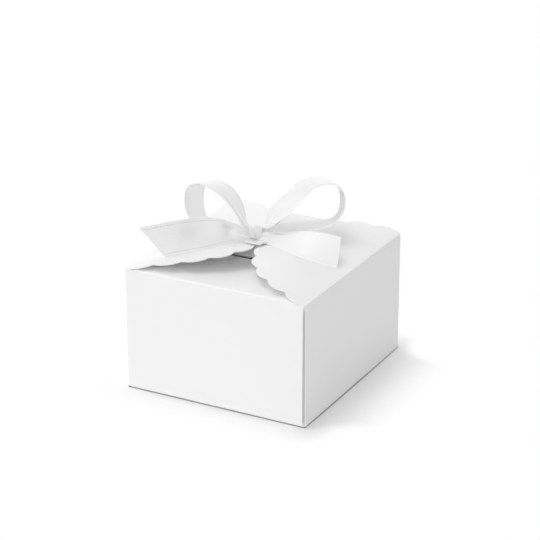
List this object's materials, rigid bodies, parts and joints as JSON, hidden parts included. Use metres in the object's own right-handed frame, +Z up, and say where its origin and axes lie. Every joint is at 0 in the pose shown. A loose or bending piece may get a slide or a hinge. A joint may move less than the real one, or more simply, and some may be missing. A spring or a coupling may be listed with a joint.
{
  "type": "favor box with ribbon bow",
  "caption": "Square folding card favor box with two scalloped lid flaps that meet in the middle and are tied shut with a satin ribbon bow.",
  "frame": {"origin": "centre of the base, on the surface the box stands on", "axes": "+Z up, -Y towards the front wall, +X towards the right wall"},
  "size_m": [0.07, 0.0754, 0.0688],
  "materials": {
    "card": "semi-matt white coated card",
    "ribbon": "white satin with woven edges"
  },
  "bodies": {
    "carton": {"front_wall": "card", "rear_wall": "card", "right_wall": "card", "left_wall": "card", "glue_tab": "card", "base_rear_flap": "card", "base_right_flap": "card", "base_left_flap": "card", "base_front_flap": "card"},
    "left_lid": {"left_lid_flap": "card", "ribbon_strap": "ribbon", "bow_knot": "ribbon", "left_loop": "ribbon", "right_loop": "ribbon", "left_tail": "ribbon", "right_tail": "ribbon"},
    "right_lid": {"right_lid_flap": "card"},
    "front_inner": {"front_inner_flap": "card"},
    "rear_inner": {"rear_inner_flap": "card"}
  },
  "joints": [
    {"name": "left_lid_crease", "type": "hinge", "parent": "carton", "child": "left_lid", "pos_m": [-0.0348, 0, 0.0448], "axis": [0, -1, 0], "range_deg": [0, 120], "deforming": ["ribbon_strap"]},
    {"name": "right_lid_crease", "type": "hinge", "parent": "carton", "child": "right_lid", "pos_m": [0.0348, 0, 0.0448], "axis": [0, 1, 0], "range_deg": [0, 120]},
    {"name": "front_inner_crease", "type": "hinge", "parent": "carton", "child": "front_inner", "pos_m": [0, -0.03755, 0.0443], "axis": [1, 0, 0], "range_deg": [0, 72]},
    {"name": "rear_inner_crease", "type": "hinge", "parent": "carton", "child": "rear_inner", "pos_m": [0, 0.03755, 0.0443], "axis": [-1, 0, 0], "range_deg": [0, 72]}
  ],
  "couplings": [
    {"joint": "right_lid_crease", "follows": "left_lid_crease", "ratio": 1},
    {"joint": "front_inner_crease", "follows": "left_lid_crease", "ratio": 0.6},
    {"joint": "rear_inner_crease", "follows": "left_lid_crease", "ratio": 0.6}
  ]
}
